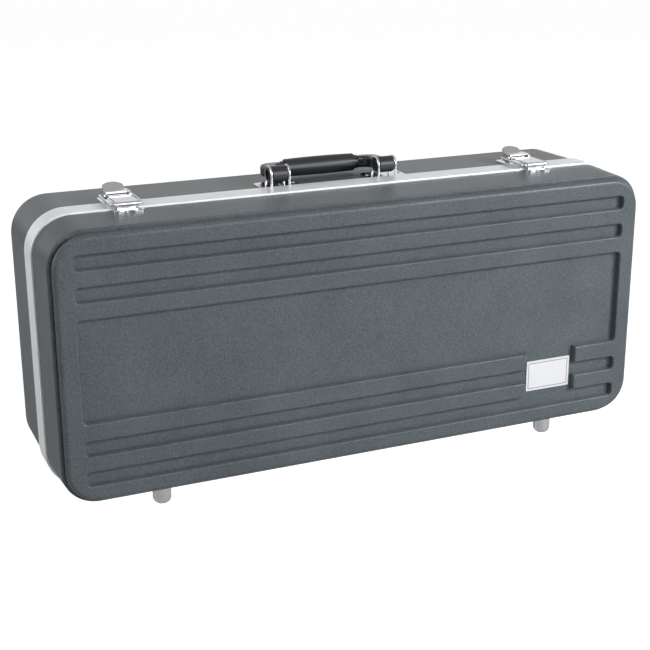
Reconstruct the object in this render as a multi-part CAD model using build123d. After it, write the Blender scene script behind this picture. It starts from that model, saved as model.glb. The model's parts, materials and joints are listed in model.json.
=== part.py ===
"""Tenor saxophone case: moulded lid and base, aluminium valance, folding handle, two draw latches.

The case stands on its hinge side, as it is carried. X runs along the case, the lid's face looks
towards -Y, +Z is up, and the origin is on the floor under the middle of the closed case.
Everything is in millimetres.
"""
import os
from dataclasses import dataclass
from math import asin, atan, cos, degrees, pi, sin

from build123d import *

os.makedirs("parts", exist_ok=True)

# Closed case
case_length = 843.0          # over the valance
case_height = 361.0          # over the valance, without the feet
case_depth = 228.0           # lid face to rear face
lid_depth = 96.0             # lid face to parting plane
corner_radius = 52.5         # of the valance, seen from the front
foot_drop = 18.0             # floor to the underside of the valance

# Moulded shells
wall = 3.0
lid_draft = 2.8              # how far the lid's sides lean in between valance and groove
base_draft = 1.0
shoulder_radius = 1.6        # where the sides end at the groove
bead_width = 7.5             # rounded edge that frames each face
bead_radius = 6.5
bead_back_radius = 0.8
bead_inset = 4.7             # from the end of the sides in to the bead
groove_width = 3.5
groove_depth = 6.5           # from the end of the sides in to the groove's floor

# Recessed panels of a face, heights measured from the middle of the face
recess_margin = 31.5         # from the shell's ends
recess_depth = 8.0
recess_corner = 6.0
recess_taper = 12.0          # degrees, lean of the recess walls
rim_radius = 2.0
centre_panel_height = 132.8
bar_spans = ((127.3, 146.6), (87.5, 107.3), (-109.3, -89.1), (-149.4, -129.6))
pad_width = 80.5             # flat field for the badge, which interrupts the lower ribs
pad_margin = 66.5            # from the right end of the recesses

# Badge plate
badge_width = 70.0
badge_height = 44.0
badge_thickness = 1.2
badge_corner = 1.0
badge_middle_height = -102.2

# Valance: two extruded rings, each gripping the edge of one shell
valance_width = 18.5         # of one half
valance_proud = 2.5
valance_edge_radius = 0.8
valance_web = 3.2
valance_inner_leg = 1.5
valance_inner_width = 10.0
seam_gap = 0.3
tongue_height = 1.6
tongue_thickness = 1.0
tongue_inset = 1.0           # from the shell's outer surface to the tongue
tongue_clearance = 0.5
fit = 0.05                   # clearance of pieces seated in each other
running = 0.05               # radial clearance of a pin in its hole

# Feet, one under each end of lid and base
foot_spacing = 572.0
lid_foot_setback = 24.5      # from the lid's face
base_foot_setback = 26.0     # from the rear face
foot_radius = 12.0
foot_side_height = 10.0      # where the dome turns into the straight side
foot_flat_radius = 4.0
foot_dome_middle = (10.8, 4.2)    # a place on the dome, (radius, height)
foot_buried = 10.0           # blank length above foot_drop, cut off by the shell's slope
foot_screw_radius = 2.0
foot_screw_length = 12.0
screw_head_radius = 4.0
screw_head_height = 1.6
screw_head_gap = 0.3         # head to the sloping wall

# Hinges
hinge_positions = (-220.0, 0.0, 220.0)
hinge_length = 45.0
hinge_knuckles = 5
knuckle_radius = 3.2
knuckle_gap = 0.3
hinge_pin_radius = 1.25
hinge_stand_off = 0.2        # knuckle to valance
leaf_thickness = 1.2
leaf_reach = 13.5            # axis to the leaf's edge
leaf_corner = 2.0

# Rivets
rivet_radius = 1.6
rivet_head_radius = 3.2
rivet_head_height = 1.3
clinch_radius = 2.6
clinch_height = 0.9
clinch_gap = 0.25            # clinched end to the sloping wall
hinge_rivet_spread = 26.0
hinge_rivet_reach = 9.0

# Handle and its brackets
handle_axis_setback = 31.6   # behind the parting plane
handle_axis_height = 13.5    # above the top of the valance
barrel_radius = 11.0
barrel_edge_radius = 1.0
neck_radius = 8.4            # of the barrel where a hoop runs round it
neck_overhang = 2.0          # past the middle of the hoop's wire
dish_radius = 6.2            # hollow in the barrel's outer end
dish_depth = 3.0
hoop_positions = (65.5, 91.0)
hoop_wire_radius = 1.6
hoop_clearance = 0.4
bracket_inner = 50.0
bracket_outer = 107.0
bracket_depth = 34.0
bracket_corner = 7.0
bracket_rivet_inset = 5.0
grip_offset_back = 44.5      # grip axis from the barrel axis, handle folded back
grip_offset_up = -2.5
grip_length = 104.0
grip_radius = 12.7
grip_end_radius = 11.9
grip_end_chamfer = 1.5
collar_radius = 9.4          # of the core between grip and arm
collar_length = 4.0
handle_core_radius = 6.0
arm_height = 16.0
arm_width = 20.0
arm_tip_width = 19.0
arm_outer_radius = 18.0
arm_inner_radius = 6.0
arm_edge_radius = 4.5

# Draw latches
latch_positions = (-299.0, 287.5)
latch_names = ("left", "right")
plate_width = 40.0
plate_depth = 36.0
plate_thickness = 1.6
plate_corner = 5.0
plate_gap = 0.5              # valance to plate
ear_inner = 16.0             # from the latch's middle
ear_thickness = 1.5
ear_radius = 5.5
lever_axis_setback = 25.5    # behind the parting plane
lever_axis_height = 6.5      # above the top of the valance
lever_pin_radius = 1.5
lever_pin_head_radius = 2.4
lever_pin_head_height = 0.8
lever_half_width = 15.5
lever_sheet = 1.5
lever_front = 6.0            # of the sheet, ahead of the axis
lever_top = 5.5              # of the sheet above the axis
lever_flat = 12.0            # behind the axis, where the tab starts to rise
lever_length = 27.0          # axis to the tab's end
lever_rise = 6.5
tab_half_width = 13.5
tab_round = 6.0              # how far the tab's end bulges
flange_drop = 5.0
flange_overlap = 0.2
flange_length = 17.0
bail_pivot_back = 12.0       # behind the lever's axis
bail_pivot_down = 1.0
bail_wire_radius = 1.4
bail_half_width = 20.2
bail_reach = 61.5            # pivot to the cross bar
bail_bend = 3.2
claw_half_width = 14.5
claw_sheet = 1.4
claw_length = 38.5
claw_height = 5.4            # underside above the shell

# Keepers on the lid
keeper_front = 16.5          # of the plate, ahead of the valance
keeper_width = 39.0
keeper_notch_radius = 8.0
keeper_notch_middle = 3.0    # ahead of the plate's front edge
keeper_lip_half_width = 13.0
keeper_lip_thickness = 1.6
claw_clearance = 0.35        # claw above the lip
keeper_rivet_spread = 28.0
keeper_rivet_front = 5.0     # from the plate's front edge

# Latch plate rivets
plate_rivet_spread = 16.0
plate_rivet_back = 6.0       # from the plate's rear edge

# Padded interior
lining_inset = 6.0
lining_below_edge = 1.0
lid_pad = 14.0
lid_floor_pad = 12.0
base_floor_pad = 14.0

# The instrument's nest, rounds of (distance from the lining's end, height above the middle, radius)
small_end_round = (68.0, -88.0, 44.0)         # from the left end, the others from the right end
bow_low_round = (158.0, -72.0, 66.0)
bow_high_round = (138.0, 70.0, 62.0)
bell_round = (323.0, 64.0, 84.0)
bridge_field = (308.0, -40.0, 170.0, 80.0)    # left, low, length and height of the middle field

# Accessory box in the base
box_margin = 33.0            # from the lining's left end
box_length = 240.0
box_low = 68.0               # above the middle of the case
box_height = 72.0
box_depth = 70.0
box_wall = 2.5
box_lid_thickness = 4.0
box_lid_gap = 0.6
box_lid_recess = 0.5         # behind the box's front edge
box_pin_radius = 1.0
box_pin_length = 9.0
tab_width = 16.0
tab_length = 20.0
tab_thickness = 1.0
tab_inset = 2.0
well_margin = 33.0           # from the lining's left end
well_length = 330.0
well_low = -6.0
well_height = 58.0
well_depth = 70.0
well_corner = 12.0

# Places that follow from the sizes above
centre_z = foot_drop + case_height / 2
top_z = foot_drop + case_height
lid_face_y = -case_depth / 2
parting_y = lid_face_y + lid_depth
base_depth = case_depth - lid_depth
shell_length = case_length - 2 * valance_proud
shell_height = case_height - 2 * valance_proud
shell_radius = corner_radius - valance_proud
shell_top_z = top_z - valance_proud
recess_length = shell_length - 2 * recess_margin
pad_middle = recess_length / 2 - pad_margin - pad_width / 2
plate_front_y = parting_y + valance_width + plate_gap
keeper_back_y = parting_y - valance_width - plate_gap
hinge_axis_z = foot_drop - hinge_stand_off - knuckle_radius
handle_axis_y = parting_y + handle_axis_setback
handle_axis_z = top_z + handle_axis_height
grip_y = handle_axis_y + grip_offset_back
grip_z = handle_axis_z + grip_offset_up
lever_axis_y = parting_y + lever_axis_setback
lever_axis_z = top_z + lever_axis_height
bail_axis_y = lever_axis_y + bail_pivot_back
bail_axis_z = lever_axis_z - bail_pivot_down
bar_y = bail_axis_y - bail_reach
bar_z = shell_top_z + claw_height + claw_sheet + bail_wire_radius
lining_front_y = parting_y + lining_below_edge
lining_end = shell_length / 2 - lining_inset
box_left = box_margin - lining_end
well_left = well_margin - lining_end
box_pin_y = lining_front_y + box_lid_recess + box_lid_thickness / 2
box_low_z = centre_z + box_low
box_pin_z = box_low_z + box_height - box_wall - box_lid_gap - box_lid_thickness / 2


@dataclass
class Half:
    """One half of the case: which way its face looks along Y, and its own depth and draft."""
    side: int
    depth: float
    draft: float
    foot_y: float
    with_pad: bool

    @property
    def groove_start(self):
        """Depth at which the leaning sides end in the groove."""
        return self.depth - bead_width - groove_width

    @property
    def cavity_step(self):
        """Depth at which the cavity narrows behind the groove; the linings end short of it."""
        return self.groove_start - wall

    def inset_at(self, depth):
        """How far the outer side has leaned in at a depth from the parting plane."""
        run = self.groove_start - valance_width
        return max(0.0, self.draft * (depth - valance_width) / run)

    def plane(self, depth):
        """Plane at a depth from the parting plane, its normal looking out through the face."""
        origin = (0, parting_y + self.side * depth, centre_z)
        return Plane(origin=origin, x_dir=(-self.side, 0, 0), z_dir=(0, self.side, 0))

    def slab(self, inset, start, end, end_inset=None):
        """The case's outline between two depths, from one inset to another."""
        lean = 0.0 if end_inset is None else end_inset - inset
        taper = degrees(atan(lean / (end - start)))
        return extrude(self.plane(start) * outline(inset), amount=end - start, taper=taper)

    def far_edges(self, solid):
        """The ring of edges on the face side of a slab."""
        rings = solid.edges().filter_by(Axis.Y, reverse=True).group_by(Axis.Y)
        return rings[0] if self.side < 0 else rings[-1]

    def near_edges(self, solid):
        """The ring of edges on the parting side of a slab."""
        rings = solid.edges().filter_by(Axis.Y, reverse=True).group_by(Axis.Y)
        return rings[-1] if self.side < 0 else rings[0]


lid = Half(-1, lid_depth, lid_draft, lid_face_y + lid_foot_setback, True)
base = Half(1, base_depth, base_draft, case_depth / 2 - base_foot_setback, False)


def outline(inset):
    """Front outline of a shell, drawn in from its outer surface."""
    return RectangleRounded(shell_length - 2 * inset, shell_height - 2 * inset, shell_radius - inset)


def cylinder(radius, length, place, axis):
    """Solid cylinder that starts at place and runs along axis."""
    return extrude(Plane(origin=place, z_dir=axis) * Circle(radius), amount=length)


def across(radius, half_length, x, y, z):
    """Cylinder along X, centred on a place."""
    return cylinder(radius, 2 * half_length, (x - half_length, y, z), (1, 0, 0))


def drilled(solids, holes):
    """Each solid with all the holes cut out of it."""
    result = []
    for solid in solids:
        for hole in holes:
            solid -= hole
        result.append(solid)
    return result


def panel_profile(with_pad, grow):
    """The recessed panels of a face as one drawing, widened by grow."""
    length = recess_length + 2 * grow
    half_centre = centre_panel_height / 2
    drawing = RectangleRounded(length, 2 * (half_centre + grow), recess_corner + grow)
    for low, high in bar_spans:
        bar = RectangleRounded(length, high - low + 2 * grow, recess_corner + grow)
        drawing += Pos(0, (low + high) / 2) * bar
    if with_pad:
        pad_low = bar_spans[-1][0] - grow
        pad = Rectangle(pad_width + 2 * grow, -pad_low, align=(Align.CENTER, Align.MAX))
        drawing += Pos(pad_middle, 0) * pad
    return drawing


def shell_outside(half):
    """Outer form of a half: straight skirt, leaning sides, groove and rounded bead."""
    bead_start = half.depth - bead_width
    sides = half.slab(0, valance_width, half.groove_start, half.draft)
    body = half.slab(0, valance_web + fit, valance_width) + fillet(half.far_edges(sides), shoulder_radius)
    body += half.slab(half.draft + groove_depth, half.groove_start, bead_start)
    bead = half.slab(half.draft + bead_inset, bead_start, half.depth)
    bead = fillet(half.far_edges(bead), bead_radius)
    bead = fillet(half.near_edges(bead), bead_back_radius)
    return body + bead


def moulded_shell(half, outside):
    """One half as moulded: even wall, recessed panels pushed through from outside to inside."""
    panels = half.plane(half.depth) * panel_profile(half.with_pad, 0)
    outside = outside - extrude(panels, amount=-recess_depth, taper=recess_taper)
    face_y = parting_y + half.side * half.depth
    rims = outside.edges().filter_by_position(Axis.Y, face_y - fit, face_y + fit)
    reach_x = recess_length / 2 + rim_radius
    reach_z = bar_spans[0][1] + rim_radius
    rims = [e for e in rims if abs(e.center().X) < reach_x and abs(e.center().Z - centre_z) < reach_z]
    outside = fillet(rims, rim_radius)
    step = half.cavity_step
    inner_end = half.depth - wall
    hollow = half.slab(wall, 0, valance_width)
    hollow += half.slab(wall, valance_width, step, wall + half.inset_at(step))
    hollow += half.slab(wall + half.draft + groove_depth, step, inner_end)
    bosses = half.plane(inner_end) * panel_profile(half.with_pad, wall)
    hollow -= extrude(bosses, amount=-recess_depth)
    return outside - hollow


def valance(half):
    """Extruded ring round the parting edge, slotted for its shell, with a tongue or a groove."""
    ring = half.slab(-valance_proud, seam_gap / 2, valance_width)
    ring = fillet(half.far_edges(ring), valance_edge_radius)
    ring -= half.slab(wall + fit + valance_inner_leg, 0, valance_width)
    slot = half.slab(-fit, valance_web, valance_width) - half.slab(wall + fit, valance_web, valance_width)
    ring -= slot
    ring -= half.slab(wall + fit, valance_inner_width, valance_width)
    root = valance_web / 2
    if half is base:
        tongue = half.slab(tongue_inset, -tongue_height, root)
        return ring + (tongue - half.slab(tongue_inset + tongue_thickness, -tongue_height, root))
    groove_end = tongue_height + tongue_clearance
    groove = half.slab(tongue_inset - tongue_clearance, 0, groove_end)
    return ring - (groove - half.slab(tongue_inset + tongue_thickness + tongue_clearance, 0, groove_end))


def dome_arc(radius, height):
    """Arc from the edge of a round head up to its top on the Z axis."""
    sphere = (radius ** 2 + height ** 2) / (2 * height)
    half_angle = asin(radius / sphere) / 2
    middle = (sphere * sin(half_angle), height - sphere + sphere * cos(half_angle))
    return ThreePointArc((radius, 0), middle, (0, height))


def rivet(place, axis, stack):
    """Round-headed rivet: head on place, shank against axis through the stack, clinched end."""
    end = -stack - clinch_height
    side = Polyline((0, rivet_head_height), (0, end), (clinch_radius, end), (clinch_radius, -stack),
                    (rivet_radius, -stack), (rivet_radius, 0), (rivet_head_radius, 0))
    profile = make_face([side, dome_arc(rivet_head_radius, rivet_head_height)])
    return Plane(origin=place, z_dir=axis) * revolve(Plane.XZ * profile, Axis.Z)


def stack_under_plate(y):
    """From the top of a level plate down to the inside of the sloping wall below it."""
    half = lid if y < parting_y else base
    return plate_thickness + half.inset_at(abs(y - parting_y)) + wall + clinch_gap


def rivet_hole(place, axis, stack):
    """Hole of a rivet through its stack and past both ends."""
    start = Vector(*place) - Vector(*axis) * (stack + clinch_height)
    return cylinder(rivet_radius + fit, stack + 2 * clinch_height, start, axis)


def riveted(places, axis, stack):
    """Rivets at places, and their holes."""
    rivets = [rivet(place, axis, stack) for place in places]
    holes = [rivet_hole(place, axis, stack) for place in places]
    return rivets, holes


def riveted_down(places):
    """Rivets through level plates on top of the case, and their holes."""
    return riveted(places, (0, 0, 1), stack_under_plate(places[0][1]))


def foot(half, x, outside):
    """Pressed metal dome foot, standing on the floor and seated against its shell."""
    top = foot_drop + foot_buried
    rim = (foot_radius, foot_side_height)
    side = Polyline(rim, (foot_radius, top), (0, top), (0, 0), (foot_flat_radius, 0))
    profile = make_face([side, ThreePointArc((foot_flat_radius, 0), foot_dome_middle, rim)])
    return Pos(x, half.foot_y, 0) * revolve(Plane.XZ * profile, Axis.Z) - outside


def screw_seat(half):
    """Height of a foot screw's head above the floor, inside the shell."""
    depth = half.side * (half.foot_y - parting_y)
    return foot_drop + valance_proud + half.inset_at(depth) + wall + screw_head_gap


def foot_screw(half, x):
    """Screw from inside the shell down into the foot."""
    seat = (x, half.foot_y, screw_seat(half))
    head = cylinder(screw_head_radius, screw_head_height, seat, (0, 0, 1))
    return head + cylinder(foot_screw_radius, foot_screw_length, seat, (0, 0, -1))


def screw_hole(half, x):
    """Hole of a foot screw, through the shell and into the foot."""
    start = (x, half.foot_y, screw_seat(half))
    return cylinder(foot_screw_radius + fit, foot_screw_length + fit, start, (0, 0, -1))


def hinge_leaf(half, x):
    """Leaf of one hinge with its own knuckles round the pin."""
    pitch = hinge_length / hinge_knuckles
    clear = knuckle_radius + knuckle_gap
    middle_z = foot_drop - fit - leaf_thickness / 2
    plate_y = parting_y + half.side * (clear + leaf_reach) / 2
    plate = Pos(x, plate_y, middle_z) * Box(hinge_length, leaf_reach - clear, leaf_thickness)
    corners = plate.edges().filter_by(Axis.Z).group_by(Axis.Y)
    leaf = fillet(corners[0] if half is lid else corners[-1], leaf_corner)
    width = pitch - knuckle_gap
    for number in range(1 if half is lid else 0, hinge_knuckles, 2):
        knuckle_x = x - hinge_length / 2 + pitch * (number + 0.5)
        bridge_y = parting_y + half.side * clear / 2
        leaf += Pos(knuckle_x, bridge_y, middle_z) * Box(width, clear, leaf_thickness)
        leaf += across(knuckle_radius, width / 2, knuckle_x, parting_y, hinge_axis_z)
    return leaf - across(hinge_pin_radius + running, hinge_length / 2 + fit, x, parting_y, hinge_axis_z)


def top_plate(x, y, width, depth, corner):
    """Plate lying on top of the case, deep enough to follow the shell's slope below."""
    drawing = Pos(x, y, shell_top_z - lid_draft) * RectangleRounded(width, depth, corner)
    return extrude(drawing, amount=plate_thickness + lid_draft)


def handle_bracket(mirror, outside):
    """Riveted plate with two wire hoops that hold one barrel of the handle."""
    x = mirror * (bracket_inner + bracket_outer) / 2
    y = plate_front_y + bracket_depth / 2
    bracket = top_plate(x, y, bracket_outer - bracket_inner, bracket_depth, bracket_corner) - outside
    radius = neck_radius + hoop_clearance + hoop_wire_radius
    foot_z = shell_top_z + plate_thickness - hoop_wire_radius / 2
    for position in hoop_positions:
        front = (mirror * position, handle_axis_y - radius)
        back = (mirror * position, handle_axis_y + radius)
        rise = Line((*front, foot_z), (*front, handle_axis_z))
        top = (mirror * position, handle_axis_y, handle_axis_z + radius)
        bow = ThreePointArc((*front, handle_axis_z), top, (*back, handle_axis_z))
        fall = Line((*back, handle_axis_z), (*back, foot_z))
        start = Plane(origin=(*front, foot_z), z_dir=(0, 0, 1))
        bracket += sweep(start * Circle(hoop_wire_radius), path=Wire([rise, bow, fall]))
    return bracket


def handle_frame():
    """Moulded arms with their barrels, and the core that runs through the grip."""
    frame = across(handle_core_radius, grip_length / 2 + grip_end_chamfer, 0, grip_y, grip_z)
    reach = (grip_offset_back ** 2 + grip_offset_up ** 2) ** 0.5
    inner, outer = (sum(hoop_positions) - arm_width) / 2, (sum(hoop_positions) + arm_width) / 2
    near, far = reach - arm_tip_width / 2, reach + arm_tip_width / 2
    end = grip_length / 2 + collar_length
    turn = arm_outer_radius
    neck_clearance = hoop_wire_radius + hoop_clearance
    barrel_x = sum(hoop_positions) / 2
    half_barrel = (hoop_positions[1] - hoop_positions[0]) / 2 - neck_clearance
    half_neck = (hoop_positions[1] - hoop_positions[0]) / 2 + neck_overhang
    middle_x, middle_y = outer - turn + turn * cos(pi / 4), far - turn + turn * sin(pi / 4)
    for mirror in (-1, 1):
        barrel = across(barrel_radius, half_barrel, mirror * barrel_x, handle_axis_y, handle_axis_z)
        barrel = fillet(barrel.edges().filter_by(GeomType.CIRCLE), barrel_edge_radius)
        barrel += across(neck_radius, half_neck, mirror * barrel_x, handle_axis_y, handle_axis_z)
        dish_place = (mirror * (barrel_x + half_neck), handle_axis_y, handle_axis_z)
        barrel -= cylinder(dish_radius, dish_depth, dish_place, (-mirror, 0, 0))
        collar_place = (mirror * (grip_length / 2 + fit), grip_y, grip_z)
        frame += cylinder(collar_radius, collar_length, collar_place, (mirror, 0, 0))
        turn_start, turn_end = (mirror * outer, far - turn), (mirror * (outer - turn), far)
        plan = make_face([
            Polyline(turn_end, (mirror * end, far), (mirror * end, near), (mirror * inner, near),
                     (mirror * inner, 0), (mirror * outer, 0), turn_start),
            ThreePointArc(turn_start, (mirror * middle_x, middle_y), turn_end),
        ])
        bend = plan.vertices().sort_by_distance(Vector(mirror * inner, near, 0))[0]
        plan = fillet(bend, arm_inner_radius)
        flat = Plane(origin=(0, handle_axis_y, handle_axis_z), x_dir=(1, 0, 0),
                     z_dir=(0, -grip_offset_up / reach, grip_offset_back / reach))
        arm = extrude(flat * plan, amount=arm_height / 2, both=True)
        edges = [(edge, flat.to_local_coords(edge.center())) for edge in arm.edges()]
        edges = [(edge, place) for edge, place in edges if abs(abs(place.Z) - arm_height / 2) < fit]
        level = [edge for edge, place in edges if place.Y > fit and abs(abs(place.X) - end) > fit]
        frame += barrel + fillet(level, arm_edge_radius)
    return frame


def handle_grip():
    """Thick grip sleeve with a slight swell, bored for the core."""
    end, bore = grip_length / 2, handle_core_radius + fit
    shoulder = (end - grip_end_chamfer, grip_end_radius)
    left_shoulder = (-shoulder[0], shoulder[1])
    edge = grip_end_radius - grip_end_chamfer
    ends = Polyline(left_shoulder, (-end, edge), (-end, bore), (end, bore), (end, edge), shoulder)
    swell = ThreePointArc(shoulder, (0, grip_radius), left_shoulder)
    return Pos(0, grip_y, grip_z) * revolve(make_face([ends, swell]), Axis.X)


def latch_plate(x, outside):
    """Base plate of one latch with the two ears that carry the lever."""
    plate = top_plate(x, plate_front_y + plate_depth / 2, plate_width, plate_depth, plate_corner) - outside
    drop = lever_axis_z - shell_top_z - plate_thickness / 2
    for side in (-1, 1):
        place = (x + side * (ear_inner + ear_thickness / 2), lever_axis_y, lever_axis_z)
        plate += Pos(*place) * Rot(0, 90, 0) * Cylinder(ear_radius, ear_thickness)
        plate += Pos(place[0], place[1], place[2] - drop / 2) * Box(ear_thickness, 2 * ear_radius, drop)
    return plate - across(lever_pin_radius + fit, plate_width / 2, x, lever_axis_y, lever_axis_z)


def lever_pin(x):
    """Pin through both ears, headed at each end."""
    half_length = ear_inner + ear_thickness
    pin = across(lever_pin_radius, half_length, x, lever_axis_y, lever_axis_z)
    for side in (-1, 1):
        place = (x + side * half_length, lever_axis_y, lever_axis_z)
        pin += cylinder(lever_pin_head_radius, lever_pin_head_height, place, (side, 0, 0))
    return pin


def lever_sheet_plan(x):
    """The lever seen from above: square front, narrower tab with a round end."""
    tab_y = lever_axis_y + lever_flat
    neck_y = tab_y + lever_half_width - tab_half_width
    round_y = lever_axis_y + lever_length - tab_round
    right, neck = x + lever_half_width, x + tab_half_width
    left, neck_left = x - lever_half_width, x - tab_half_width
    front_y = lever_axis_y - lever_front
    sides = Polyline((neck, round_y), (neck, neck_y), (right, tab_y), (right, front_y),
                     (left, front_y), (left, tab_y), (neck_left, neck_y), (neck_left, round_y))
    return make_face([sides, ThreePointArc((neck, round_y), (x, round_y + tab_round), (neck_left, round_y))])


def latch_lever(x):
    """Pressed lever: flat sheet with a rising, rounded tab and two flanges on the pin."""
    side_plane = Plane(origin=(x, lever_axis_y, lever_axis_z), x_dir=(0, 1, 0), z_dir=(1, 0, 0))
    low, high = lever_top - lever_sheet, lever_top
    side_view = Polyline((-lever_front, low), (lever_flat, low), (lever_length, low + lever_rise),
                         (lever_length, high + lever_rise), (lever_flat, high), (-lever_front, high),
                         close=True)
    sheet = extrude(side_plane * make_face(side_view), amount=lever_half_width, both=True)
    lever = sheet & extrude(Pos(0, 0, lever_axis_z) * lever_sheet_plan(x), amount=high + lever_rise)
    flange_top = low + flange_overlap
    flange = make_face([
        Polyline((0, -flange_drop), (flange_length - flange_drop / 2, -flange_drop), (flange_length, 0),
                 (lever_flat, flange_top), (-lever_front, flange_top), (-lever_front, 0)),
        RadiusArc((-lever_front, 0), (0, -flange_drop), -lever_front),
    ])
    flanges = extrude(side_plane * flange, amount=lever_half_width, both=True)
    flanges -= extrude(side_plane * flange, amount=lever_half_width - lever_sheet, both=True)
    lever += flanges
    lever -= across(lever_pin_radius + running, lever_half_width + fit, x, lever_axis_y, lever_axis_z)
    return lever - across(bail_wire_radius + running, lever_half_width + fit, x, bail_axis_y, bail_axis_z)


def latch_bail(x):
    """Wire bail: two arms and a cross bar, its ends turned in through the lever's flanges."""
    inner = lever_half_width - lever_sheet - bail_wire_radius
    corners = [(x - inner, bail_axis_y, bail_axis_z), (x - bail_half_width, bail_axis_y, bail_axis_z),
               (x - bail_half_width, bar_y, bar_z), (x + bail_half_width, bar_y, bar_z),
               (x + bail_half_width, bail_axis_y, bail_axis_z), (x + inner, bail_axis_y, bail_axis_z)]
    start = Plane(origin=corners[0], z_dir=(-1, 0, 0))
    return sweep(start * Circle(bail_wire_radius), path=FilletPolyline(*corners, radius=bail_bend))


def latch_claw(x):
    """Pressed plate curled round the bail's cross bar; its curl reaches over the keeper's lip."""
    bore = bail_wire_radius + fit
    plane = Plane(origin=(x, bar_y, bar_z), x_dir=(0, 1, 0), z_dir=(1, 0, 0))
    drawing = Circle(bore + claw_sheet)
    drawing += Pos(claw_length / 2, bore + claw_sheet / 2) * Rectangle(claw_length, claw_sheet)
    return extrude(plane * (drawing - Circle(bore)), amount=claw_half_width, both=True)


def keeper(x, outside):
    """Plate on the lid with two lobes for its rivets and a raised lip under the claw."""
    front_y = keeper_back_y - keeper_front
    plate = top_plate(x, (front_y + keeper_back_y) / 2, keeper_width, keeper_front, plate_corner)
    notch = Pos(x, front_y - keeper_notch_middle, 0) * Circle(keeper_notch_radius)
    plate -= extrude(notch, amount=2 * top_z)
    lip_top = shell_top_z + claw_height - claw_clearance
    lip_low = shell_top_z - lid_draft
    lip = Box(2 * keeper_lip_half_width, keeper_lip_thickness, lip_top - lip_low)
    return plate + Pos(x, bar_y, (lip_top + lip_low) / 2) * lip - outside


def front_plane(y):
    """Plane seen from the front, X to the right and height up from the middle of the case."""
    return Plane(origin=(0, y, centre_z), x_dir=(1, 0, 0), z_dir=(0, -1, 0))


def hull(*rounds):
    """Outline drawn tight round a row of circles."""
    edges = []
    for x, height, radius in rounds:
        edges += (Pos(x, height) * Circle(radius)).edges()
    return make_hull(edges)


def nest_plan():
    """Outline of the instrument's nest: body tube below, bow at the right, bell above."""
    left, low, length, height = bridge_field
    bridge = Pos(lining_end - left, low) * Rectangle(length, height, align=(Align.MIN, Align.MIN))
    from_right = (bow_low_round, bow_high_round, bell_round)
    bow_low, bow_high, bell = [(lining_end - distance, *place) for distance, *place in from_right]
    small_end = (small_end_round[0] - lining_end, *small_end_round[1:])
    return hull(small_end, bow_low) + hull(bow_low, bow_high) + hull(bow_high, bell) + bridge


def base_lining():
    """Padded block that fills the base, with the instrument's nest, a box seat and a neck well."""
    floor = base.cavity_step - fit
    block = base.slab(lining_inset, lining_below_edge, floor, lining_inset + base_draft)
    front = front_plane(lining_front_y)
    block -= extrude(front * nest_plan(), amount=-(floor - lining_below_edge - base_floor_pad))
    well = RectangleRounded(well_length, well_height, well_corner)
    well = Pos(well_left + well_length / 2, well_low + well_height / 2) * well
    block -= extrude(front * well, amount=-well_depth)
    seat = Rectangle(box_length + 2 * fit, box_height + 2 * fit)
    seat = Pos(box_left + box_length / 2, box_low + box_height / 2) * seat
    return block - extrude(front * seat, amount=-(box_depth + fit))


def lid_lining():
    """Padded tray that lines the lid."""
    floor = lid.cavity_step - fit
    block = lid.slab(lining_inset, lining_below_edge, floor, lining_inset + lid_draft)
    inner = lining_inset + lid_pad
    return block - lid.slab(inner, lining_below_edge, floor - lid_floor_pad, inner + lid_draft)


def accessory_box():
    """Board box seated in the lining, open at the front, with bores for its lid's pins."""
    middle_x = box_left + box_length / 2
    middle_z = box_low_z + box_height / 2
    front = (Align.CENTER, Align.MIN, Align.CENTER)
    box = Pos(middle_x, lining_front_y, middle_z) * Box(box_length, box_depth, box_height, align=front)
    inside = Box(box_length - 2 * box_wall, box_depth - box_wall, box_height - 2 * box_wall, align=front)
    box -= Pos(middle_x, lining_front_y, middle_z) * inside
    return box - across(box_pin_radius + fit, box_length / 2 + fit, middle_x, box_pin_y, box_pin_z)


def accessory_lid():
    """Lid of the accessory box, hung on two pins along its upper edge."""
    middle_x = box_left + box_length / 2
    half_width = box_length / 2 - box_wall - box_lid_gap
    low = box_low_z + box_wall + box_lid_gap
    upward = (Align.CENTER, Align.CENTER, Align.MIN)
    plate = Box(2 * half_width, box_lid_thickness, box_pin_z - low, align=upward)
    panel = Pos(middle_x, box_pin_y, low) * plate
    panel += across(box_lid_thickness / 2, half_width, middle_x, box_pin_y, box_pin_z)
    return panel - across(box_pin_radius + running, half_width + fit, middle_x, box_pin_y, box_pin_z)


def accessory_pins():
    """Two pins, one from each end wall of the box into its lid."""
    ends = ((box_left, 1), (box_left + box_length, -1))
    places = [((x, box_pin_y, box_pin_z), (side, 0, 0)) for x, side in ends]
    return [cylinder(box_pin_radius, box_pin_length, place, axis) for place, axis in places]


def pull_tab():
    """Ribbon tab on the accessory lid's lower edge."""
    low = box_low_z + box_wall + box_lid_gap + tab_inset
    front = box_pin_y - box_lid_thickness / 2
    ribbon = Box(tab_width, tab_thickness, tab_length, align=(Align.CENTER, Align.MAX, Align.MIN))
    return Pos(box_left + box_length / 2, front, low) * ribbon


def badge_plate():
    """Bare plate on the flat field between the lower ribs."""
    drawing = Pos(pad_middle, badge_middle_height) * RectangleRounded(badge_width, badge_height, badge_corner)
    return extrude(front_plane(lid_face_y + recess_depth) * drawing, amount=badge_thickness)


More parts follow.
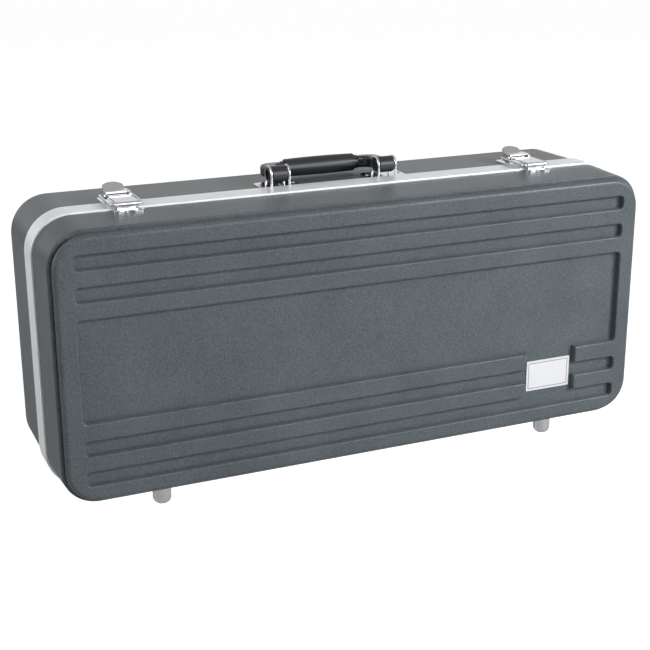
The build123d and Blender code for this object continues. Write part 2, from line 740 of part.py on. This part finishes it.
def half_pieces(half, name):
    """Shell, valance, feet and hinge leaves of one half, with everything that fastens them."""
    outside = shell_outside(half)
    shell, ring = [moulded_shell(half, outside)], [valance(half)]
    foot_xs = (-foot_spacing / 2, foot_spacing / 2)
    screw_holes = [screw_hole(half, x) for x in foot_xs]
    rivet_y = parting_y + half.side * hinge_rivet_reach
    leaf_face_z = foot_drop - fit - leaf_thickness
    spread = hinge_rivet_spread / 2
    places = [(x + s * spread, rivet_y, leaf_face_z) for x in hinge_positions for s in (-1, 1)]
    stack = leaf_thickness + valance_proud + wall + valance_inner_leg + 3 * fit
    rivets, rivet_holes = riveted(places, (0, 0, -1), stack)
    return {
        name + "_shell": drilled(shell, screw_holes + rivet_holes),
        name + "_valance": drilled(ring, rivet_holes),
        name + "_feet": drilled([foot(half, x, outside) for x in foot_xs], screw_holes),
        name + "_foot_screws": [foot_screw(half, x) for x in foot_xs],
        name + "_hinge_leaves": drilled([hinge_leaf(half, x) for x in hinge_positions], rivet_holes),
        name + "_hinge_rivets": rivets,
    }, outside


nodes, lid_outside = half_pieces(lid, "lid")
base_nodes, base_outside = half_pieces(base, "base")
nodes.update(base_nodes)
pin = across(hinge_pin_radius, hinge_length / 2, 0, parting_y, hinge_axis_z)
nodes["hinge_pins"] = [Pos(x, 0, 0) * pin for x in hinge_positions]

plate_top_z = shell_top_z + plate_thickness
bracket_ends = (bracket_inner + bracket_rivet_inset, bracket_outer - bracket_rivet_inset)
bracket_y = plate_front_y + bracket_depth / 2
bracket_places = [(m * x, bracket_y, plate_top_z) for m in (-1, 1) for x in bracket_ends]


def paired(spread, y):
    """Places on both sides of each latch's middle line, on top of its plates."""
    return [(x + side * spread / 2, y, plate_top_z) for x in latch_positions for side in (-1, 1)]


plate_places = paired(plate_rivet_spread, plate_front_y + plate_depth - plate_rivet_back)
keeper_places = paired(keeper_rivet_spread, keeper_back_y - keeper_front + keeper_rivet_front)
nodes["bracket_rivets"], bracket_holes = riveted_down(bracket_places)
nodes["latch_plate_rivets"], plate_holes = riveted_down(plate_places)
nodes["keeper_rivets"], keeper_holes = riveted_down(keeper_places)
nodes["base_shell"] = drilled(nodes["base_shell"], bracket_holes + plate_holes)
nodes["lid_shell"] = drilled(nodes["lid_shell"], keeper_holes)
nodes["handle_brackets"] = drilled([handle_bracket(m, base_outside) for m in (-1, 1)], bracket_holes)
nodes["latch_plates"] = drilled([latch_plate(x, base_outside) for x in latch_positions], plate_holes)
nodes["latch_keepers"] = drilled([keeper(x, lid_outside) for x in latch_positions], keeper_holes)
nodes["latch_lever_pins"] = [lever_pin(x) for x in latch_positions]
nodes["handle_frame"], nodes["handle_grip"] = [handle_frame()], [handle_grip()]
for name, x in zip(latch_names, latch_positions):
    nodes["latch_lever_" + name] = [latch_lever(x)]
    nodes["latch_bail_" + name] = [latch_bail(x)]
    nodes["latch_claw_" + name] = [latch_claw(x)]
nodes["base_lining"], nodes["lid_lining"] = [base_lining()], [lid_lining()]
nodes["accessory_box"], nodes["accessory_lid"] = [accessory_box()], [accessory_lid()]
nodes["accessory_lid_pins"], nodes["accessory_lid_tab"] = accessory_pins(), [pull_tab()]
nodes["badge_plate"] = [badge_plate()]

for name, solids in nodes.items():
    shape = solids[0] if len(solids) == 1 else Compound(children=solids)
    shape.label = name
    export_step(shape, f"parts/{name}.step")
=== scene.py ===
"""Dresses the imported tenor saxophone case: moulded plastic, metalwork, plush linings and a plain studio."""
import json
from math import cos, pi, radians, sin

import bpy
from mathutils import Matrix, Vector

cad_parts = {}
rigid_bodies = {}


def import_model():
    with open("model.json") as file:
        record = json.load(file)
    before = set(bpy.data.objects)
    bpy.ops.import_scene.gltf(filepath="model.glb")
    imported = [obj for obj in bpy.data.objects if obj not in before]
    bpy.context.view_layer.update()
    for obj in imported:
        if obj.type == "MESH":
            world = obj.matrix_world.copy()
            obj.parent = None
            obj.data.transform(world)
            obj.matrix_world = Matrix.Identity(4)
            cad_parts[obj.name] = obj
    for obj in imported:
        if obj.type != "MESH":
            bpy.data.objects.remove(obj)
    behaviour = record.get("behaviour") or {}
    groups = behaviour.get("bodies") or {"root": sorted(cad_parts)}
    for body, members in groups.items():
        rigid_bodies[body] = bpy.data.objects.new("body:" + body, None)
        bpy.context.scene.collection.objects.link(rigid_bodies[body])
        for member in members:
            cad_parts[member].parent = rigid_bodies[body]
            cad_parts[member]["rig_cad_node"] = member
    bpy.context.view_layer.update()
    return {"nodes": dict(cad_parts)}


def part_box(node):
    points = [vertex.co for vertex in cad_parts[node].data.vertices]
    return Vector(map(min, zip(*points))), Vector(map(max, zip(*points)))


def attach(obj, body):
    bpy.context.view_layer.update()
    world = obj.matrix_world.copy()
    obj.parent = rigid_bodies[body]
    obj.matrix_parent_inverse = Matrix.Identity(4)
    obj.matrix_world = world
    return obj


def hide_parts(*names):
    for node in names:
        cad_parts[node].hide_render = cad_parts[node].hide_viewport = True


bl_info = {
    "name": "Tenor saxophone case",
    "version": (1, 0, 0),
    "blender": (4, 5, 0),
    "location": "View3D > Sidebar > Case",
    "description": "Finishes the packed case's shells, metalwork and linings, and sets up a plain studio",
    "category": "Object",
}

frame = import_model()
nodes = frame["nodes"]
MM = 0.001
WHITE = (1, 1, 1, 1)
WAVE_RADIANS = 20  # in one unit of the Wave texture's scale
RIB_RADIAN = 1.2 * MM  # one radian of the ribs' wave, which makes a rib every 7.5 mm
MERGE = 0.01 * MM
SEAM_GAP = 0.4 * MM  # left between a pad's cover and its lining's edge
CLOTH_FRAMES = 20
RIBBON_WALL = 0.35 * MM
RIBBON_BELLY = 0.35 * MM
RIBBON_SEAT = 0.15 * MM
RIBBON_FLAT_END = 1.05  # the belly ends a little above the lower end
AIM = Vector((0, 0, 0.2))  # the case's middle, which the lamps face
FLOOR_REACH = 20  # metres, well past what the camera sees
SENSOR = 36  # millimetres


class CaseColours(bpy.types.PropertyGroup):
    """Colours of the case, each as an sRGB hex value."""
    shell: bpy.props.StringProperty(name="Shell", description="Moulded ABS of both halves", default="#555C60")
    handle: bpy.props.StringProperty(name="Handle", description="Moulded handle and grip", default="#25282E")
    aluminium: bpy.props.StringProperty(name="Valance", description="Anodised aluminium", default="#F6F7F9")
    chrome: bpy.props.StringProperty(name="Chrome", description="Plated latches and feet", default="#D4D5D8")
    zinc: bpy.props.StringProperty(name="Zinc", description="Plated hinges and screws", default="#B4B6B8")
    plush: bpy.props.StringProperty(name="Plush", description="Pile of the linings", default="#17171A")
    ribbon: bpy.props.StringProperty(name="Ribbon", description="Pull tab", default="#202024")
    badge: bpy.props.StringProperty(name="Badge", description="Bare badge plate", default="#E6E7EA")
    badge_line: bpy.props.StringProperty(name="Badge line", description="Border printed on the badge",
                                         default="#8A8D91")
    floor: bpy.props.StringProperty(name="Floor", description="Studio floor", default="#B8B8B8")


class CaseStudio(bpy.types.PropertyGroup):
    """Camera and lamps of the studio."""
    azimuth: bpy.props.FloatProperty(name="Azimuth", description="Camera's turn about the case, in degrees",
                                     default=-23.5)
    elevation: bpy.props.FloatProperty(name="Elevation", description="Camera above the horizon, in degrees",
                                       default=18.2)
    roll: bpy.props.FloatProperty(name="Roll", description="Camera's roll, in degrees", default=-0.28)
    lens: bpy.props.FloatProperty(name="Lens", description="Focal length in millimetres", default=72.96,
                                  min=1)
    place: bpy.props.FloatVectorProperty(name="Place", description="Where the camera stands",
                                         subtype="TRANSLATION", default=(-0.7087, -1.5910, 0.7474))
    key_power: bpy.props.FloatProperty(name="Key", description="Power of the lamp above right, in watts",
                                       default=42, min=0)
    front_power: bpy.props.FloatProperty(name="Front", description="Power of the lamp in front, in watts",
                                         default=41, min=0)
    glint_power: bpy.props.FloatProperty(name="Glint", description="Power of the small lamp above, in watts",
                                         default=1.6, min=0)
    side_power: bpy.props.FloatProperty(name="Side", description="Power of the lamp on the left, in watts",
                                        default=12, min=0)
    edge: bpy.props.FloatProperty(name="Edge", description="Where the floor steps down for the opened lid",
                                  default=0.03, subtype="DISTANCE")
    drop: bpy.props.FloatProperty(name="Drop", description="Height of that step", default=0.24, min=0,
                                  subtype="DISTANCE")
    world: bpy.props.FloatProperty(name="World", description="Strength of the room's light", default=0.5,
                                   min=0)


class CasePadding(bpy.types.PropertyGroup):
    """How the plush linings are padded."""
    mesh_size: bpy.props.FloatProperty(name="Mesh size", description="Edge length of the pads' mesh",
                                       default=0.0075, min=0.004, subtype="DISTANCE")
    foam: bpy.props.FloatProperty(name="Foam", description="How far the cover swells over its foam",
                                  default=0.0024, min=0, subtype="DISTANCE")
    pressure: bpy.props.FloatProperty(name="Pressure", description="Push of the foam on its cover",
                                      default=4, min=0)


def linear(hex_colour):
    """Linear RGBA of an sRGB hex value."""
    channels = [int(hex_colour[i:i + 2], 16) / 255 for i in (1, 3, 5)]
    return [c / 12.92 if c <= 0.04045 else ((c + 0.055) / 1.055) ** 2.4 for c in channels] + [1.0]


def add(tree, kind, inputs=None, **settings):
    """Add a node with its settings. An input's value is a number, a colour or another node's output."""
    node = tree.nodes.new("ShaderNode" + kind)
    for name, value in settings.items():
        setattr(node, name, value)
    for name, value in (inputs or {}).items():
        if isinstance(value, bpy.types.NodeSocket):
            tree.links.new(value, node.inputs[name])
        else:
            node.inputs[name].default_value = value
    return node


def start_material(name):
    """A new material's tree, its shader, and the object's own coordinates."""
    material = bpy.data.materials.new(name)
    material.use_nodes = True
    tree = material.node_tree
    place = add(tree, "TexCoord").outputs["Object"]
    return material, tree, tree.nodes["Principled BSDF"], place


def moulded_abs(colours):
    """ABS, vacuum formed over a grained mould: dull, with a fine pebble grain that breaks up the light.

    The grain is about 1 mm, too fine to show, so it is drawn 2.4 mm. Its pits shade each other at a low
    angle, so the specular level is under the smooth plastic's.
    """
    material, tree, shader, place = start_material("moulded ABS")
    pebble = add(tree, "TexVoronoi", {"Vector": place, "Scale": 1 / (2.4 * MM)}, feature="SMOOTH_F1")
    cloud = add(tree, "TexNoise", {"Vector": place, "Scale": 1 / (70 * MM), "Detail": 3})
    fleck = add(tree, "TexNoise", {"Vector": place, "Scale": 1 / (2.6 * MM), "Detail": 2})
    mixed = add(tree, "Math", {0: cloud.outputs["Fac"], 1: 0.4, 2: fleck.outputs["Fac"]},
                operation="MULTIPLY_ADD")
    tone = add(tree, "MapRange", {"Value": mixed.outputs[0], "From Min": 0.4, "From Max": 1.0,
                                  "To Min": 0.68, "To Max": 1.32})
    tinted = add(tree, "VectorMath", {0: linear(colours.shell)[:3], "Scale": tone.outputs[0]},
                 operation="SCALE")
    tree.links.new(tinted.outputs[0], shader.inputs["Base Color"])
    rough = add(tree, "MapRange", {"Value": fleck.outputs["Fac"], "To Min": 0.26, "To Max": 0.42})
    tree.links.new(rough.outputs[0], shader.inputs["Roughness"])
    bump = add(tree, "Bump", {"Height": pebble.outputs["Distance"], "Strength": 0.8, "Distance": 0.4 * MM})
    tree.links.new(bump.outputs[0], shader.inputs["Normal"])
    shader.inputs["IOR"].default_value = 1.53
    shader.inputs["Specular IOR Level"].default_value = 0.22
    return material


def plain_metal(name, colour, rough, line_mm, metallic=1.0):
    """Metal whose tiny unevenness, of the given width, wavers its reflections."""
    material, tree, shader, place = start_material(name)
    shader.inputs["Metallic"].default_value = metallic
    shader.inputs["Base Color"].default_value = linear(colour)
    wave = add(tree, "TexNoise", {"Vector": place, "Scale": 1 / (line_mm * MM), "Detail": 4})
    roughness = add(tree, "MapRange", {"Value": wave.outputs["Fac"], "To Min": rough * 0.8,
                                       "To Max": rough * 1.3})
    tree.links.new(roughness.outputs[0], shader.inputs["Roughness"])
    bump = add(tree, "Bump", {"Height": wave.outputs["Fac"], "Strength": 0.12, "Distance": 0.1 * MM})
    tree.links.new(bump.outputs[0], shader.inputs["Normal"])
    return material


def black_plastic(colours):
    """Polypropylene moulded in a polished tool: black with a broad shine."""
    material, tree, shader, place = start_material("moulded polypropylene")
    shader.inputs["Base Color"].default_value = linear(colours.handle)
    grain = add(tree, "TexNoise", {"Vector": place, "Scale": 1 / (0.8 * MM), "Detail": 3})
    rough = add(tree, "MapRange", {"Value": grain.outputs["Fac"], "To Min": 0.22, "To Max": 0.36})
    tree.links.new(rough.outputs[0], shader.inputs["Roughness"])
    bump = add(tree, "Bump", {"Height": grain.outputs["Fac"], "Strength": 0.2, "Distance": 0.06 * MM})
    tree.links.new(bump.outputs[0], shader.inputs["Normal"])
    shader.inputs["IOR"].default_value = 1.49
    return material


def plush(colours):
    """Short-pile knitted plush glued over foam: black, with a sheen where the pile is seen edge on.

    Its tufts are finer than the 1.6 mm that they are drawn at, so that they show.
    """
    material, tree, shader, place = start_material("knitted plush")
    pile = add(tree, "TexNoise", {"Vector": place, "Scale": 1 / (1.6 * MM), "Detail": 4})
    brushed = add(tree, "TexNoise", {"Vector": place, "Scale": 1 / (28 * MM), "Detail": 2})
    mixed = add(tree, "Math", {0: pile.outputs["Fac"], 1: brushed.outputs["Fac"]}, operation="ADD")
    tone = add(tree, "MapRange", {"Value": mixed.outputs[0], "From Min": 0.6, "From Max": 1.4,
                                  "To Min": 0.5, "To Max": 1.7})
    tinted = add(tree, "VectorMath", {0: linear(colours.plush)[:3], "Scale": tone.outputs[0]},
                 operation="SCALE")
    tree.links.new(tinted.outputs[0], shader.inputs["Base Color"])
    bump = add(tree, "Bump", {"Height": pile.outputs["Fac"], "Strength": 0.8, "Distance": 0.8 * MM})
    tree.links.new(bump.outputs[0], shader.inputs["Normal"])
    shader.inputs["Roughness"].default_value = 0.95
    shader.inputs["Sheen Weight"].default_value = 0.5
    shader.inputs["Sheen Roughness"].default_value = 0.5
    return material


def printed_plate(colours):
    """Aluminium etched to a satin: pale, with a soft even shine and a thin grey border line printed on it."""
    material, tree, shader, place = start_material("satin aluminium")
    low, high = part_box("badge_plate")
    middle = [(a + b) / 2 for a, b in zip(low, high)]
    centred = add(tree, "VectorMath", {0: place, 1: middle}, operation="SUBTRACT")
    mirrored = add(tree, "VectorMath", {0: centred.outputs[0]}, operation="ABSOLUTE")
    half = [high[i] - middle[i] for i in range(3)]
    inward = add(tree, "VectorMath", {0: half, 1: mirrored.outputs[0]}, operation="SUBTRACT")
    sides = add(tree, "SeparateXYZ", {0: inward.outputs[0]})
    nearest = add(tree, "Math", {0: sides.outputs["X"], 1: sides.outputs["Z"]}, operation="MINIMUM")
    line_inset, line_half_width = 3.4 * MM, 0.5 * MM
    line = add(tree, "Math", {0: nearest.outputs[0], 1: line_inset, 2: line_half_width}, operation="COMPARE")
    colour = add(tree, "MixRGB", {"Fac": line.outputs[0], "Color1": linear(colours.badge),
                                  "Color2": linear(colours.badge_line)})
    tree.links.new(colour.outputs[0], shader.inputs["Base Color"])
    shader.inputs["Metallic"].default_value = 0.6
    satin = add(tree, "TexNoise", {"Vector": place, "Scale": 1 / (2 * MM), "Detail": 3})
    rough = add(tree, "MapRange", {"Value": satin.outputs["Fac"], "To Min": 0.36, "To Max": 0.5})
    tree.links.new(rough.outputs[0], shader.inputs["Roughness"])
    return material


def woven_ribbon(colours):
    """Grosgrain polyester ribbon, woven: matt, with ribs across it.

    The real ribs are about 1 mm apart, too fine to show. These are drawn far coarser, 7.5 mm apart.
    """
    material, tree, shader, place = start_material("grosgrain ribbon")
    ribs = add(tree, "TexWave", {"Vector": place, "Scale": 1 / (WAVE_RADIANS * RIB_RADIAN),
                                   "Distortion": 0.4}, bands_direction="Z")
    tone = add(tree, "MapRange", {"Value": ribs.outputs["Fac"], "To Min": 0.6, "To Max": 1.3})
    tinted = add(tree, "VectorMath", {0: linear(colours.ribbon)[:3], "Scale": tone.outputs[0]},
                 operation="SCALE")
    tree.links.new(tinted.outputs[0], shader.inputs["Base Color"])
    bump = add(tree, "Bump", {"Height": ribs.outputs["Fac"], "Strength": 0.6, "Distance": 0.3 * MM})
    tree.links.new(bump.outputs[0], shader.inputs["Normal"])
    shader.inputs["Roughness"].default_value = 0.7
    shader.inputs["Sheen Weight"].default_value = 0.3
    return material


def pick(piece):
    """Select one object alone and make it active."""
    bpy.ops.object.select_all(action="DESELECT")
    piece.select_set(True)
    bpy.context.view_layer.objects.active = piece


def swell(piece, padding):
    """Blow the cover up over its foam by cloth simulation. No point moves further than the foam is thick."""
    rest = [vertex.co.copy() for vertex in piece.data.vertices]
    cloth = piece.modifiers.new("Cloth", "CLOTH")
    cloth.settings.use_pressure = True
    cloth.settings.uniform_pressure_force = padding.pressure
    cloth.settings.effector_weights.gravity = 0
    cloth.point_cache.frame_end = CLOTH_FRAMES
    for number in range(1, CLOTH_FRAMES + 1):
        bpy.context.scene.frame_set(number)
    shaped = piece.evaluated_get(bpy.context.evaluated_depsgraph_get()).data
    for vertex, start, end in zip(piece.data.vertices, rest, shaped.vertices):
        move = end.co - start
        if move.length > padding.foam:
            move.length = padding.foam
        vertex.co = start + move
    piece.modifiers.remove(cloth)
    bpy.context.scene.frame_set(1)


def pad(name, lining, body, padding, material):
    """A padded cover in the place of a lining: its own mesh, drawn in, then swelled over the foam."""
    piece = nodes[lining].copy()
    piece.data = piece.data.copy()
    piece.name = name
    del piece["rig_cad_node"]
    bpy.context.collection.objects.link(piece)
    piece.parent = None
    pick(piece)
    bpy.ops.object.mode_set(mode="EDIT")
    bpy.ops.mesh.select_all(action="SELECT")
    bpy.ops.mesh.remove_doubles(threshold=MERGE)
    bpy.ops.object.mode_set(mode="OBJECT")
    piece.data.remesh_voxel_size = padding.mesh_size
    bpy.ops.object.voxel_remesh()
    drawn_in = piece.modifiers.new("Displace", "DISPLACE")
    drawn_in.mid_level = 0
    drawn_in.strength = -padding.foam - SEAM_GAP
    bpy.ops.object.modifier_apply(modifier=drawn_in.name)
    swell(piece, padding)
    finer = piece.modifiers.new("Subdivision", "SUBSURF")
    finer.levels = finer.render_levels = 1
    bpy.ops.object.modifier_apply(modifier=finer.name)
    bpy.ops.object.shade_smooth()
    piece.data.materials.clear()
    piece.data.materials.append(material)
    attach(piece, body)
    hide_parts(lining)


def pull_ribbon(material):
    """The pull tab as a ribbon, bellied out a little between its ends."""
    low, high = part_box("accessory_lid_tab")
    bpy.ops.object.select_all(action="DESELECT")
    bpy.ops.mesh.primitive_grid_add(x_subdivisions=8, y_subdivisions=24, size=1,
                                    rotation=(radians(90), 0, 0))
    ribbon = bpy.context.object
    ribbon.name = "pull_ribbon"
    ribbon.scale = (high[0] - low[0], high[2] - low[2], 1)
    ribbon.location = ((low[0] + high[0]) / 2, high[1] - RIBBON_SEAT, (low[2] + high[2]) / 2)
    bpy.ops.object.transform_apply(location=True, rotation=True, scale=True)
    for vertex in ribbon.data.vertices:
        down = (high[2] - vertex.co.z) / (high[2] - low[2])
        vertex.co.y -= RIBBON_BELLY * sin(pi * min(1.0, down * RIBBON_FLAT_END)) ** 2
    wall = ribbon.modifiers.new("Solidify", "SOLIDIFY")
    wall.thickness = RIBBON_WALL
    wall.offset = 0
    bpy.ops.object.modifier_apply(modifier=wall.name)
    bpy.ops.object.shade_smooth()
    ribbon.data.materials.append(material)
    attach(ribbon, "accessory_lid")
    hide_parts("accessory_lid_tab")


def paint(material, *names):
    """Give CAD nodes or pieces one material."""
    for name in names:
        piece = bpy.data.objects[name]
        piece.data.materials.clear()
        piece.data.materials.append(material)


class CASE_OT_shells(bpy.types.Operator):
    """Grain both shells"""
    bl_idname = "case.shells"
    bl_label = "Shells"

    def execute(self, context):
        paint(moulded_abs(context.scene.case_colours), "lid_shell", "base_shell")
        return {"FINISHED"}


class CASE_OT_metal(bpy.types.Operator):
    """Finish the valance, latches, brackets, feet and hinges"""
    bl_idname = "case.metal"
    bl_label = "Metalwork"

    def execute(self, context):
        colours = context.scene.case_colours
        # Extruded and clear anodised: nearly white and half matt, because the oxide scatters the light.
        valance = plain_metal("anodised aluminium", colours.aluminium, rough=0.3, line_mm=3, metallic=0.2)
        paint(valance, "lid_valance", "base_valance")
        # Stamped steel, polished and plated: hard bright and dark reflections, wavered by the stamping.
        chrome = plain_metal("chrome plate", colours.chrome, rough=0.1, line_mm=6)
        paint(chrome, *[name for name in nodes if name.endswith("_feet") or name.startswith(
            ("latch", "keeper", "handle_brackets", "bracket"))])
        # Steel, barrel plated and left unpolished: a grey sheen with soft reflections.
        zinc = plain_metal("zinc plate", colours.zinc, rough=0.35, line_mm=2)
        paint(zinc, *[name for name in nodes if "hinge" in name or "screws" in name
                      or name == "accessory_lid_pins"])
        return {"FINISHED"}


class CASE_OT_handle(bpy.types.Operator):
    """Finish the handle"""
    bl_idname = "case.handle"
    bl_label = "Handle"

    def execute(self, context):
        paint(black_plastic(context.scene.case_colours), "handle_frame", "handle_grip")
        return {"FINISHED"}


class CASE_OT_linings(bpy.types.Operator):
    """Line the case with plush"""
    bl_idname = "case.linings"
    bl_label = "Linings"

    def execute(self, context):
        cover = plush(context.scene.case_colours)
        pad("base_padding", "base_lining", "base", context.scene.case_padding, cover)
        pad("lid_padding", "lid_lining", "lid", context.scene.case_padding, cover)
        paint(cover, "accessory_box", "accessory_lid")
        pull_ribbon(woven_ribbon(context.scene.case_colours))
        return {"FINISHED"}


class CASE_OT_badge(bpy.types.Operator):
    """Finish the badge plate in satin aluminium with its printed border line"""
    bl_idname = "case.badge"
    bl_label = "Badge"

    def execute(self, context):
        paint(printed_plate(context.scene.case_colours), "badge_plate")
        return {"FINISHED"}


class CASE_OT_studio(bpy.types.Operator):
    """Set up the floor, the lamps and the camera"""
    bl_idname = "case.studio"
    bl_label = "Studio"

    def execute(self, context):
        studio, colours = context.scene.case_studio, context.scene.case_colours
        # Painted board, matt. It is white to the camera, paler grey to the case, and keeps its shadow.
        material, tree, shader, _ = start_material("studio floor")
        shader.inputs["Base Color"].default_value = linear(colours.floor)
        shader.inputs["Roughness"].default_value = 0.9
        shader.inputs["Emission Color"].default_value = WHITE
        ray = add(tree, "LightPath")
        mirrored = add(tree, "Math", {0: ray.outputs["Is Glossy Ray"], 1: 0.1}, operation="MULTIPLY")
        glow = add(tree, "Math", {0: ray.outputs["Is Camera Ray"], 1: 0.86, 2: mirrored.outputs[0]},
                   operation="MULTIPLY_ADD")
        tree.links.new(glow.outputs[0], shader.inputs["Emission Strength"])
        edge, drop, far = studio.edge, studio.drop, FLOOR_REACH
        for name, place, tilt, half_depth in (
                ("floor", (0, edge + far, 0), 0, far),
                ("floor_step", (0, edge, -drop / 2), 90, drop / 2),
                ("floor_front", (0, edge - far, -drop), 0, far)):
            bpy.ops.object.select_all(action="DESELECT")
            bpy.ops.mesh.primitive_plane_add(size=2, location=place, rotation=(radians(tilt), 0, 0))
            floor = context.object
            floor.name = name
            floor.scale = (far, half_depth, 1)
            bpy.ops.object.transform_apply(location=True, rotation=True, scale=True)
            floor.data.materials.append(material)
        for name, place, size, power in (
                ("key", (1.7, -1.6, 1.3), 0.25, studio.key_power),
                ("glint", (-1.0, -0.36, 1.25), 0.12, studio.glint_power),
                ("side", (-2.0, 0.4, 0.9), 1.0, studio.side_power),
                ("front", (1.2, -2.7, 1.1), 2.0, studio.front_power)):
            turn = (Vector(place) - AIM).to_track_quat("Z", "Y")
            bpy.ops.object.light_add(type="AREA", location=place, rotation=turn.to_euler())
            context.object.name = name
            context.object.data.size = size
            context.object.data.energy = power
        azimuth, elevation = radians(studio.azimuth), radians(studio.elevation)
        back = Vector((sin(azimuth) * cos(elevation), -cos(azimuth) * cos(elevation), sin(elevation)))
        turn = back.to_track_quat("Z", "Y").to_matrix() @ Matrix.Rotation(radians(studio.roll), 3, "Z")
        bpy.ops.object.camera_add(location=studio.place, rotation=turn.to_euler())
        camera = context.object
        camera.data.lens = studio.lens
        camera.data.sensor_width = SENSOR
        camera.data.clip_end = 100
        context.scene.camera = camera
        context.scene.view_settings.view_transform = "Standard"
        world = bpy.data.worlds.new("room")
        world.use_nodes = True
        tree = world.node_tree
        ray = add(tree, "LightPath")
        height = add(tree, "SeparateXYZ", {0: add(tree, "TexCoord").outputs["Object"]}).outputs["Z"]
        # The room is bright at the horizon and dim overhead, both as a light and in reflections.
        tent = add(tree, "MapRange", {"Value": height, "From Min": 0.2, "From Max": 0.75,
                                      "To Min": 1.0, "To Max": 0.12})
        lamps = add(tree, "Math", {0: tent.outputs[0], 1: studio.world}, operation="MULTIPLY")
        shown = add(tree, "MapRange", {"Value": height, "From Min": 0.05, "From Max": 0.6,
                                       "To Min": 1.0, "To Max": 0.5})
        lit = add(tree, "MixRGB", {"Fac": ray.outputs["Is Glossy Ray"], "Color1": lamps.outputs[0],
                                   "Color2": shown.outputs[0]})
        seen = add(tree, "MixRGB", {"Fac": ray.outputs["Is Camera Ray"], "Color1": lit.outputs[0],
                                    "Color2": WHITE})
        tree.links.new(seen.outputs[0], tree.nodes["Background"].inputs["Strength"])
        tree.nodes["Background"].inputs["Color"].default_value = WHITE
        context.scene.world = world
        return {"FINISHED"}


class CASE_PT_panel(bpy.types.Panel):
    """The case's steps, in order"""
    bl_label = "Tenor saxophone case"
    bl_idname = "CASE_PT_panel"
    bl_space_type = "VIEW_3D"
    bl_region_type = "UI"
    bl_category = "Case"

    def draw(self, context):
        for step in steps:
            self.layout.operator(step.bl_idname)


steps = (CASE_OT_shells, CASE_OT_metal, CASE_OT_handle, CASE_OT_linings, CASE_OT_badge, CASE_OT_studio)
groups = (CaseColours, CaseStudio, CasePadding)


def register():
    """Register the settings, the steps and the panel."""
    for part in (*groups, *steps, CASE_PT_panel):
        bpy.utils.register_class(part)
    bpy.types.Scene.case_colours = bpy.props.PointerProperty(type=CaseColours)
    bpy.types.Scene.case_studio = bpy.props.PointerProperty(type=CaseStudio)
    bpy.types.Scene.case_padding = bpy.props.PointerProperty(type=CasePadding)


def unregister():
    """Take them all away again."""
    del bpy.types.Scene.case_padding
    del bpy.types.Scene.case_studio
    del bpy.types.Scene.case_colours
    for part in reversed((*groups, *steps, CASE_PT_panel)):
        bpy.utils.unregister_class(part)


def main():
    """Register, then run each step."""
    register()
    for step in steps:
        group, name = step.bl_idname.split(".")
        getattr(getattr(bpy.ops, group), name)()


if __name__ == "__main__":
    main()
